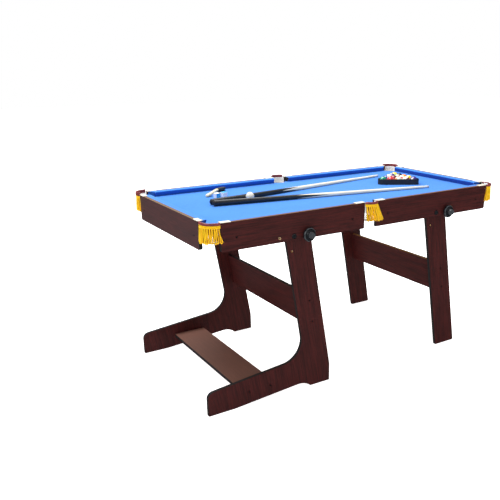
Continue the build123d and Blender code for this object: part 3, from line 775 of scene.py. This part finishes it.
# ---- pockets ----
class Pocket:
    """One pocket's places: its net and rim axes, the gap between its aprons, its leather and lining."""

    def __init__(self, side, place):
        sy = SIDES[side]
        self.name = f"{side}_{place}"
        self.top = (790.5 if side == "near" else 796) * MM
        self.lining_top = (786 if side == "near" else 782) * MM
        self.middle = place == "middle"
        if self.middle:
            self.net = self.rim = (TABLE_X, sy * INNER_Y)
            self.radius = 36 * MM
            self.outward = 90.0 * sy
            self.gap = (60.0, 60.0)
            self.lining = 89.0
            self.low = 705 * MM
        else:
            sx = ENDS[place]
            self.net = (TABLE_X + sx * CORNER_POCKET[0], sy * CORNER_POCKET[1])
            self.rim = (TABLE_X + sx * 717 * MM, sy * 336 * MM)
            self.radius = 46.75 * MM
            self.outward = math.degrees(math.atan2(sy, sx))
            self.gap = (76.0, 56.0) if sx * sy > 0 else (56.0, 76.0)
            self.lining = 64.0
            self.low = 710 * MM


POCKETS = [Pocket(side, place) for side in SIDES for place in ("left", "middle", "right")]
LIP_Z = 780 * MM  # the foot of the leather bands
LINING_FOOT = 742 * MM


def leather_rim(pocket, seed):
    """A stuffed, gathered leather band between two aprons, with a flap that reaches in to the lining."""
    rows = 90
    first = pocket.outward - pocket.gap[0]
    last = pocket.outward + pocket.gap[1]
    profile = [
        (0.6, 0.0), (3.4, 0.02), (4.3, 0.14), (4.6, 0.36), (4.5, 0.62), (3.7, 0.84), (2.2, 0.97), (0.2, 1.0),
        (-2.0, 0.98), (-3.7, 0.86), (-4.5, 0.66), (-4.6, 0.42), (-4.5, 0.24), (-4.4, "in"), (-2.8, 0.02),
    ]  # (mm out from the band's middle, share of its height) round its section; "in" is the flap's edge
    tall = pocket.top - LIP_Z
    verts = []
    for i in range(rows + 1):
        angle = first + (last - first) * i / rows
        end = min(i, rows - i) / rows * math.radians(last - first) * pocket.radius
        thin = 0.55 + 0.45 * smoothstep(end / (4 * MM))
        gather = math.sin(angle * 0.62 + 2.2 * bumpy((angle * 0.01, 0, 0), 9, seed))
        for out, up in profile:
            height = 0.2 if up == "in" else up
            spot = around(pocket.rim, pocket.radius + out * MM, angle, height * 0.012)
            fold = bumpy(spot, 105, seed)
            crease = abs(bumpy((spot.x, spot.y, spot.z * 0.5), 280, seed + 4))
            puff = (0.9 * fold - 0.9 * crease + 0.35 * gather) * MM
            r = pocket.radius + out * thin * MM
            if abs(out) > 2:
                r += math.copysign(puff, out) * (1 if fold > 0 else -1)
            z = LIP_Z + tall * height * (0.93 + 0.07 * thin)
            if height > 0.8:
                z += 0.8 * puff
            point = around(pocket.rim, r, angle, z)
            if up == "in":
                to_net = Vector((pocket.net[0], pocket.net[1], 0)) - Vector((point.x, point.y, 0))
                gap = to_net.length - (POCKET_R + 0.9 * MM)
                flap = smoothstep((end / MM - 2.0) / 8.0)
                point += to_net.normalized() * max(gap, 0.0) * flap
                point.z = pocket.lining_top - 1.3 * MM
            verts.append(point)
    width = len(profile)
    faces = [tuple(reversed(f)) for f in grid_faces(rows + 1, width, wrap=True)]
    faces.append(tuple(range(width)))
    faces.append(tuple(reversed(range(rows * width, (rows + 1) * width))))
    node = f"leather_{pocket.name}"
    mesh_piece(f"{node}_rim", verts, faces, [LEATHER], "table_top", [node])


def stitches(pocket, strands):
    """A row of stitches along the lower edge of the band."""
    first = pocket.outward - pocket.gap[0] + 4
    last = pocket.outward + pocket.gap[1] - 4
    pitch = 4.6 * MM
    count = int(math.radians(last - first) * pocket.radius / pitch)
    step = (last - first) / count
    for k in range(count):
        a = first + (k + 0.2) * step
        line = []
        for t in (0.0, 0.2, 0.5, 0.8, 1.0):
            r = pocket.radius + (4.7 + 0.5 * math.sin(math.pi * t)) * MM
            line.append(around(pocket.rim, r, a + 0.62 * step * t, LIP_Z + 2.4 * MM))
        strands.add(line, 0.36 * MM, 0.3)


def hanging_loop(rng, pocket, angle, spread, out, low, sway):
    """The points of one looped strand, from the heading down, round its end and up again."""
    top = LIP_Z - 6 * MM
    steps = 16
    wobble = [rng.uniform(-1, 1) for _ in range(6)]
    crossing = rng.random() < 0.35
    points = []
    for leg in (-1, 1):
        leg_points = []
        for k in range(steps + 1):
            t = k / steps
            z = top + (low - top) * t
            wide = (0.9 + spread * smoothstep(t * 1.15)) * MM
            sidestep = leg * wide * (-math.cos(math.pi * t) if crossing else 1)
            drift = (wobble[0] * math.sin(2.4 * t + wobble[1]) + sway * t ** 1.4) * MM
            ripple = 0.5 * math.sin(9 * t + 3 * wobble[2] + leg) * MM
            bulge = (3.2 * t ** 1.3 + wobble[3] * 0.8 * math.sin(math.pi * t)) * MM
            r = pocket.radius + out * MM + bulge + leg * 0.5 * MM
            a = angle + math.degrees((sidestep + drift + ripple * t) / pocket.radius)
            leg_points.append((a, r, z))
        points.append(leg_points)
    down, up = points[0], list(reversed(points[1]))
    a0, r0, z0 = down[-1]
    a1, r1, _ = up[0]
    turn = []
    half = abs(a1 - a0) / 2 * math.radians(1) * pocket.radius
    for k in range(1, 6):
        s = math.pi * k / 6
        mid = (a0 + a1) / 2
        low_z = z0 - max(half, 1.2 * MM) * math.sin(s)
        turn.append((mid + (a0 - mid) * math.cos(s), (r0 + r1) / 2, low_z))
    return [around(pocket.rim, r, a, z) for a, r, z in down + turn + up]


APRON_START = 29 * MM  # from the table's middle to just before the side aprons' ends
APRON_CLEAR = 383.2 * MM  # from the table's middle to just outside the side aprons


def blown(point, share):
    """Lean a strand of the near side pocket's fringe towards +X, over the outside of the apron."""
    t = (LIP_Z - point.z) / (74 * MM)
    moved = point + Vector(((9 + 23 * share) * MM * max(t, 0.0) ** 1.1, 0, 0))
    if moved.x - TABLE_X > APRON_START:
        moved.y = min(moved.y, -APRON_CLEAR)
    return moved


def fringe(pocket, seed):
    """Three rows of hanging loops, a heading of packed yarn and two twisted cords under the leather."""
    rng = random.Random(seed)
    strands = Tubes(7)
    first = pocket.outward - pocket.gap[0] + 2.0
    last = pocket.outward + pocket.gap[1] - 2.0
    arc = (last - first) * math.radians(1) * pocket.radius
    askew = pocket.name == "near_middle"
    # painted shade: the back row of loops takes the darkest tones and the front row the brightest, for the
    # shade deeper in the fringe; within a row the tone differs at random
    for out, gap, tones in ((-1.8, 3.8, (0.0, 0.12)), (-0.3, 8.2, (0.35, 0.7)), (1.6, 8.2, (0.8, 1.0))):
        count = int(arc / (gap * MM))
        for k in range(count):
            share = (k + 0.5) / count
            angle = first + (last - first) * share + rng.uniform(-0.9, 0.9)
            low = pocket.low + (rng.uniform(1.5, 8.0) + 5.0 * rng.random() ** 3) * MM
            fan = (share - 0.5) * (7.0 if pocket.middle else 13.0)
            sway = (0.0 if askew else fan) + rng.uniform(-3.6, 3.6)
            line = hanging_loop(rng, pocket, angle, rng.uniform(1.3, 3.2), out, low, sway)
            if askew:
                line = [blown(p, share) for p in line]
            strands.add(line, rng.uniform(1.35, 1.65) * MM, rng.uniform(*tones))
    pitch = 2.15 * MM
    count = int(arc / pitch)
    for k in range(count + 1):
        angle = first + (last - first) * k / count
        line = []
        for t in (0.0, 0.25, 0.5, 0.75, 1.0):
            r = pocket.radius + (1.7 + 0.5 * math.sin(math.pi * t)) * MM
            z = LIP_Z + 0.3 * MM - 11.0 * MM * t
            line.append(around(pocket.rim, r, angle + 0.8 * math.sin(3 * t + k), z))
        strands.add(line, 1.3 * MM, 0.78 + 0.22 * rng.random())
    for z in (LIP_Z - 1.6 * MM, LIP_Z - 9.0 * MM):
        for phase in (0, math.pi):
            line = []
            for k in range(count * 2 + 1):
                angle = first + (last - first) * k / (count * 2)
                twist = k * 1.1 + phase
                r = pocket.radius + (2.9 + 0.5 * math.cos(twist)) * MM
                line.append(around(pocket.rim, r, angle, z + 0.7 * math.sin(twist) * MM))
            strands.add(line, 0.8 * MM, 0.9)
    node = f"fringe_{pocket.name}"
    strands.piece(f"{node}_yarn", YELLOW, "table_top", "yellow_yarn", [node])


def lining(pocket, seed):
    """The white cloth strip that lines a pocket behind its mouth."""
    rows, columns = 44, 9
    verts = []
    for inner in (0, 1):
        for i in range(rows + 1):
            angle = pocket.outward + pocket.lining * (2 * i / rows - 1)
            for k in range(columns + 1):
                t = k / columns
                z = pocket.lining_top + (LINING_FOOT - pocket.lining_top) * t
                fold = bumpy((angle * 0.001, 0.0, z * 0.4), 420, seed)
                sag = 0.25 * math.sin(angle * 0.35 + seed)
                r = POCKET_R - (0.25 + 0.55 * inner + 0.35 * fold + sag) * MM
                verts.append(around(pocket.net, r, angle, z))
    width = columns + 1
    count = (rows + 1) * width
    faces = [tuple(reversed(f)) for f in grid_faces(rows + 1, width)]
    faces += grid_faces(rows + 1, width, count)
    for k in range(columns):
        faces.append((k, k + 1, count + k + 1, count + k))
        a = rows * width + k
        faces.append((a + 1, a, count + a, count + a + 1))
    for i in range(rows):
        a, b = i * width, (i + 1) * width
        faces.append((a, count + a, count + b, b))
        a, b = a + columns, b + columns
        faces.append((b, count + b, count + a, a))
    piece = mesh_piece(f"net_{pocket.name}_lining", verts, faces, [LINING], "table_top")


def bag_profile(t):
    """(radius, height) down the bag, from its top ring to the middle of its floor."""
    stops = [
        (30.0, 757.0), (30.2, 744.0), (29.9, 732.0), (27.6, 718.0),
        (24.6, 709.0), (21.5, 705.0), (14.0, 704.3), (5.5, 704.2),
    ]
    lengths = [math.dist(a, b) for a, b in zip(stops, stops[1:])]
    way = t * sum(lengths)
    for (a, b), length in zip(zip(stops, stops[1:]), lengths):
        if way <= length:
            s = way / length
            return (a[0] + (b[0] - a[0]) * s) * MM, (a[1] + (b[1] - a[1]) * s) * MM
        way -= length
    return stops[-1][0] * MM, stops[-1][1] * MM


def net(pocket, seed):
    """A knotted cord net bag with a bound ring at its top and foot."""
    cords = Tubes(6)
    strands, steps = 16, 30
    lay = 165  # degrees that each cord turns on its way down
    for hand in (-1, 1):
        for k in range(strands):
            line = []
            for i in range(steps + 1):
                t = i / steps
                r, z = bag_profile(t)
                angle = 360 * k / strands + hand * lay * t
                turned = math.radians(angle)
                slack = bumpy((math.cos(turned) * r, math.sin(turned) * r, z), 55, seed)
                over = 0.45 * MM * hand * math.cos(math.pi * t * strands * lay * 2 / 360)
                r += over * 0.6 - abs(slack) * 1.3 * MM
                line.append(around(pocket.net, r, angle, z + slack * 0.8 * MM))
            cords.add(line, 0.72 * MM, 0.55 + 0.4 * ((k * 7) % 5) / 5)
    for t, thick in ((0.0, 1.0), (1.0, 0.9)):
        r, z = bag_profile(t)
        ring = [around(pocket.net, r, 360 * k / 48, z) for k in range(48)]
        cords.add(ring, thick * MM, 0.9, closed=True)
    cords.piece(f"net_{pocket.name}_cords", WHITE_YARN, "table_top", "white_net", [f"net_{pocket.name}"])
    binding = Tubes(8)
    r, z = bag_profile(0.70)
    for phase in (0, math.pi):
        ring = []
        for k in range(160):
            twist = 2 * math.pi * k / 160 * 26 + phase
            out = r + (0.2 + 0.6 * math.cos(twist)) * MM
            ring.append(around(pocket.net, out, 360 * k / 160, z + 0.6 * math.sin(twist) * MM))
        binding.add(ring, 0.85 * MM, 0.6, closed=True)
    binding.piece(f"net_{pocket.name}_binding", BINDING, "table_top", "maroon_leather")


stitching = Tubes(6)
for number, pocket in enumerate(POCKETS):
    leather_rim(pocket, 1.3 + number)
    stitches(pocket, stitching)
    fringe(pocket, 40 + number)
    lining(pocket, 2.0 + number)
    net(pocket, 7.0 + number)
stitching.piece("leather_stitching", BINDING, "table_top", "maroon_leather")


# ---- balls ----
BALL = 19 * MM
RESIN = {
    "yellow": (0.92, 0.66, 0.015),
    "blue": (0.015, 0.035, 0.27),
    "red": (0.80, 0.035, 0.055),
    "purple": (0.045, 0.022, 0.235),
    "orange": (0.93, 0.26, 0.02),
    "green": (0.004, 0.29, 0.165),
    "maroon": (0.24, 0.012, 0.035),
    "black": (0.010, 0.011, 0.013),
}


def ball(name, center, turn, material, body, replaces=()):
    """A geodesic ball, smooth all round."""
    shape = bmesh.new()
    bmesh.ops.create_icosphere(shape, subdivisions=4, radius=BALL)
    data = mesh_from(shape, "ball", material)
    for polygon in data.polygons:
        polygon.use_smooth = True
    place_piece(name, data, body, replaces, Matrix.Translation(center) @ turn)


def rack_balls():
    """Fifteen balls, the apex first, each row from its left as seen from the base. A + is a stripe."""
    rows = [
        ["yellow"],
        ["purple+", "black"],
        ["blue+", "green+", "orange"],
        ["blue", "maroon", "red+", "yellow+"],
        ["green", "red", "orange+", "maroon+", "purple"],
    ]
    rng = random.Random(11)
    lo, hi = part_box("racked_balls")
    apex = math.radians(57.2)
    forward = Vector((math.cos(apex), math.sin(apex), 0))
    left = Vector((-math.sin(apex), math.cos(apex), 0))
    center = Vector((TABLE_X + 490.7 * MM, 11.9 * MM, (lo.z + hi.z) / 2))
    pitch = 38.4 * MM
    finishes = {}
    number = 0
    for row, kinds in enumerate(rows):
        for place, kind in enumerate(kinds):
            number += 1
            if kind not in finishes:
                named = f"resin_{kind.replace('+', '_striped')}"
                finishes[kind] = ball_finish(named, RESIN[kind.strip("+")], "+" in kind)
            along = pitch * math.sqrt(3) / 2 * (8 / 3 - row)
            aside = (row / 2 - place) * pitch
            turn = Matrix.Rotation(rng.uniform(0, 6.28), 4, "Z")
            turn = turn @ Matrix.Rotation(rng.uniform(0.2, 1.2), 4, "X")
            turn = turn @ Matrix.Rotation(rng.uniform(0, 6.28), 4, "Z")
            at = center + forward * along + left * aside
            stands_for = ["racked_balls"] if number == 1 else []
            ball(f"ball_{number:02d}", at, turn, finishes[kind], "racked_balls", stands_for)


rack_balls()
cue_lo, cue_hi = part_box("cue_ball")
ball(
    "cue_ball_white",
    (cue_lo + cue_hi) / 2,
    Matrix.Identity(4),
    ball_finish("white_resin", (0.97, 0.93, 0.81), None),
    "cue_ball",
    ["cue_ball"],
)


# ---- cues ----
CUE_LENGTH = 1090 * MM
CUE_BUTT = 13.0 * MM
CUE_TIP = 5.5 * MM
IVORY = moulded("ferrule", (0.80, 0.78, 0.72), (0.92, 0.90, 0.85), (0.3, 0.42), 0.5, 800, 0.3)
TIP = moulded("cue_tip", (0.50, 0.42, 0.32), (0.70, 0.62, 0.50), (0.6, 0.8), 0.2, 1200)


def cue(name, butt, turn, splice, phase):
    """A turned cue: rubber bumper, lacquered butt and shaft, ferrule and tip."""
    profile = [
        (0.0, 0.0, 0), (0.0, 5.5, 0), (0.4, 7.2, 0), (1.4, 8.2, 0),
        (3.6, 8.9, 0), (4.2, 10.4, 1), (5.0, 12.2, 1), (6.6, 12.9, 1),
    ]  # (mm from the butt, radius in mm, index of the material)
    for x in (12, 40, 120, 240, 360, 420, 480, 540, 600, 700, 800, 900, 1000, 1059):
        share = (x * MM - 6 * MM) / (CUE_LENGTH - 9 * MM)
        profile.append((x, (CUE_BUTT + (CUE_TIP - CUE_BUTT) * share) / MM, 1))
    profile += [
        (1059.6, 5.60, 2), (1060.2, 5.62, 2), (1078.0, 5.45, 2), (1078.8, 5.30, 2), (1079.4, 5.35, 3),
        (1085.0, 5.1, 3), (1088.4, 3.9, 3), (1089.6, 2.0, 3), (1090.0, 0.0, 3),
    ]
    sides = 40
    verts = []
    kinds = []
    for x, r, kind in profile:
        for k in range(sides):
            a = 2 * math.pi * k / sides
            radius = max(r, 0.02) * MM
            verts.append((x * MM, radius * math.cos(a), radius * math.sin(a)))
    faces = [tuple(reversed(f)) for f in grid_faces(len(profile), sides, wrap=True)]
    for row in range(len(profile) - 1):
        kinds += [profile[row + 1][2]] * sides
    dip = math.asin((CUE_BUTT - CUE_TIP) / CUE_LENGTH)
    place = Vector((TABLE_X + butt[0] * MM, butt[1] * MM, BED_Z + 0.3 * MM + CUE_BUTT))
    turned = Matrix.Rotation(math.radians(turn), 4, "Z") @ Matrix.Rotation(dip, 4, "Y")
    matrix = Matrix.Translation(place) @ turned
    materials = [RUBBER, cue_finish(f"cue_wood_{name}", *splice, phase), IVORY, TIP]
    piece = mesh_piece(f"{name}_turned", verts, faces, materials, name, [name], matrix)
    piece.data.polygons.foreach_set("material_index", kinds)


cue("cue_near", (-551, 2), -9.99, (0.386, 0.545), 0.62)
cue("cue_far", (-549, 30.5), 9.18, (0.400, 0.520), 0.12)


# ---- chalk ----
PAPER = moulded("chalk_paper", (0.74, 0.78, 0.84), (0.90, 0.92, 0.95), (0.5, 0.65), 0.3, 700)
CHALK = moulded("chalk_block", (0.035, 0.32, 0.62), (0.10, 0.50, 0.84), (0.85, 0.97), 0.1, 1500, 0.0, 0.0006)


def chalk(name, turn, open_face):
    """A paper-wrapped cube of chalk with a worn hollow in its open face."""
    lo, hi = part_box(name)
    center = (lo + hi) / 2
    half = 12 * MM
    mesh = bmesh.new()
    bmesh.ops.create_cube(mesh, size=2 * half)
    bmesh.ops.bevel(mesh, geom=mesh.edges[:], offset=1.3 * MM, segments=3, profile=0.6, affect="EDGES")
    bmesh.ops.subdivide_edges(mesh, edges=mesh.edges[:], cuts=5, use_grid_fill=True)
    toward = Vector(open_face)
    for vert in mesh.verts:
        height = vert.co.dot(toward)
        if height > half - 0.05 * MM:
            off = (vert.co - toward * height).length / half
            vert.co -= toward * (2.6 * MM * max(0.0, 1 - (off / 0.8) ** 2))
        vert.co += vert.co.normalized() * 0.12 * MM * bumpy(vert.co, 260, 2.0)
    data = mesh_from(mesh, f"{name}_cube", PAPER, CHALK)
    for polygon in data.polygons:
        polygon.use_smooth = True
        in_hollow = polygon.center.dot(toward) > half - 2.9 * MM and polygon.normal.dot(toward) > 0.6
        polygon.material_index = int(in_hollow)
    matrix = Matrix.Translation(center) @ Matrix.Rotation(math.radians(turn), 4, "Z")
    place_piece(f"{name}_cube", data, name, [name], matrix)


chalk("chalk_left", 12, (0, -1, 0))
chalk("chalk_right", 20, (0, 0, 1))


# ---- brush ----
HANDLE = moulded("brush_handle", (0.66, 0.55, 0.32), (0.86, 0.78, 0.54), (0.35, 0.5), 0.5, 300, 0.3)
BRISTLE = moulded("brush_bristle", (0.006, 0.006, 0.007), (0.022, 0.022, 0.022), (0.4, 0.6), 0.5, 2000)
BRUSH_STOCK = moulded("brush_stock", (0.010, 0.010, 0.011), (0.028, 0.028, 0.028), (0.35, 0.5), 0.5, 500)


def brush():
    """A rail brush: curved handle, black stock and rows of tufts."""
    turn = math.radians(26)
    origin = Vector((TABLE_X - 490 * MM, 196 * MM, BED_Z + 0.3 * MM))
    ahead = Vector((math.cos(turn), math.sin(turn), 0))
    aside = Vector((-math.sin(turn), math.cos(turn), 0))

    def place(x, y, z):
        return origin + ahead * x * MM + aside * y * MM + Vector((0, 0, z * MM))

    stations = [
        (0.2, 3.0, 3.0, 8.6), (1.2, 6.4, 1.4, 11.4), (4, 8.2, 0.8, 12.8), (12, 8.9, 1.0, 14.4),
        (24, 8.8, 2.4, 16.6), (38, 8.4, 5.0, 19.6), (52, 8.0, 8.2, 22.8), (66, 7.8, 11.8, 26.0),
        (78, 7.8, 14.8, 27.6), (86, 7.8, 16.2, 27.8),
    ]  # (reach, half width, underside, top) in mm along the handle
    sides = 20
    verts = []
    for x, half, low, high in stations:
        for k in range(sides):
            a = 2 * math.pi * k / sides
            flat = abs(math.cos(a)) ** 0.8 * math.copysign(1, math.cos(a))
            rise = abs(math.sin(a)) ** 0.8 * math.copysign(1, math.sin(a))
            verts.append(place(x, half * flat, (low + high) / 2 + (high - low) / 2 * rise))
    faces = grid_faces(len(stations), sides, wrap=True)
    faces.append(tuple(reversed(range(sides))))
    faces.append(tuple(range((len(stations) - 1) * sides, len(stations) * sides)))
    handle = mesh_piece("brush_handle", verts, faces, [HANDLE], "brush")
    smooth = handle.modifiers.new("smooth", "SUBSURF")
    smooth.levels = smooth.render_levels = 1

    stock = bmesh.new()
    bmesh.ops.create_cube(stock, size=1.0)
    for vert in stock.verts:
        vert.co = Vector((vert.co.x * 51, vert.co.y * 23.4, vert.co.z * 9.5))
    upright = [e for e in stock.edges if abs(e.verts[0].co.z - e.verts[1].co.z) > 1]
    bmesh.ops.bevel(stock, geom=upright, offset=5.5, segments=6, profile=0.5, affect="EDGES")
    sharp = [e for e in stock.edges if e.is_manifold and e.calc_face_angle(0) > 1]
    rims = [e for e in sharp if abs(e.verts[0].co.z - e.verts[1].co.z) < 0.1]
    bmesh.ops.bevel(stock, geom=rims, offset=1.2, segments=3, profile=0.5, affect="EDGES")
    data = mesh_from(stock, "brush_stock", BRUSH_STOCK)
    data.transform(Matrix.Scale(MM, 4))
    for polygon in data.polygons:
        polygon.use_smooth = polygon.area < 40 * MM * MM
    matrix = Matrix.Translation(place(83 + 26, 0, 23.0)) @ Matrix.Rotation(turn, 4, "Z")
    place_piece("brush_stock", data, "brush", ["brush"], matrix)

    rng = random.Random(5)
    tufts = Tubes(5)
    for i in range(12):
        for j in range(5):
            x, y = 87 + i * 4.05, (j - 2) * 4.3
            for _ in range(7):
                dx, dy = rng.uniform(-0.9, 0.9), rng.uniform(-0.9, 0.9)
                foot = rng.uniform(0.1, 1.4)
                flare = ((0.8, 20), (1.1, 12), (1.7, 5), (2.1, foot))
                line = [place(x + dx * s, y + dy * s, z) for s, z in flare]
                tufts.add(line, 0.42 * MM, rng.random())
    tufts.piece("brush_bristles", BRISTLE, "brush", "brush_wood")


brush()


# ---- floor, backdrop and light ----
def studio():
    """A white floor that runs into a white background, a broad overhead light and soft fill."""
    floor_mesh = bpy.data.meshes.new("floor")
    half = 20.0
    corners = [(-half, -half, 0), (half, -half, 0), (half, half, 0), (-half, half, 0)]
    floor_mesh.from_pydata(corners, [], [(0, 1, 2, 3)])
    floor = bpy.data.objects.new("floor", floor_mesh)
    floor.location.z = -0.0005
    floor.visible_glossy = False
    bpy.context.scene.collection.objects.link(floor)
    white = (1, 1, 1, 1)
    glow = {"Emission_Color": white, "Emission_Strength": 0.95}
    f = Finish("floor_white", Roughness=0.9, Specular_IOR_Level=0.0, **glow)
    f.colour((0.93, 0.93, 0.93))
    floor_mesh.materials.append(f.material)

    world = bpy.data.worlds.new("studio")
    bpy.context.scene.world = world
    world.use_nodes = True
    n = Nodes(world.node_tree)
    background = world.node_tree.nodes["Background"]
    split = n.node("SeparateXYZ", {"Vector": n.node("TexCoord").outputs["Generated"]})
    level = 0.42
    for axis, weight in (("X", -0.12), ("Y", 0.16), ("Z", 0.48)):
        level = n.maths("MULTIPLY_ADD", split.outputs[axis], weight, level)
    rays = n.node("LightPath").outputs
    glossy_dim = n.maths("MULTIPLY_ADD", rays["Is Glossy Ray"], -0.72, 1.0)
    pick = n.node("Mix", data_type="FLOAT")
    n.put(rays["Is Camera Ray"], pick.inputs[0])
    n.put(n.maths("MULTIPLY", level, glossy_dim), pick.inputs[2])
    n.put(1.0, pick.inputs[3])
    n.put(pick.outputs[0], background.inputs["Strength"])
    n.put(white, background.inputs["Color"])

    for name, place_at, size, power in (
        ("overhead", (-0.2, 0.9, 3.4), (3.4, 2.4), 146),
        ("window_left", (-3.2, -2.0, 2.1), (1.6, 1.6), 12),
        ("front_fill", (0.9, -4.2, 2.2), (1.6, 1.2), 13),
    ):
        lamp = bpy.data.lights.new(name, "AREA")
        lamp.shape = "RECTANGLE"
        lamp.size, lamp.size_y = size
        lamp.energy = power
        made = bpy.data.objects.new(name, lamp)
        made.location = place_at
        made.rotation_mode = "QUATERNION"
        toward = Vector((TABLE_X, 0, 0.6)) - Vector(place_at)
        made.rotation_quaternion = toward.to_track_quat("-Z", "Y")
        bpy.context.scene.collection.objects.link(made)


studio()
bpy.context.scene.view_settings.view_transform = "Standard"
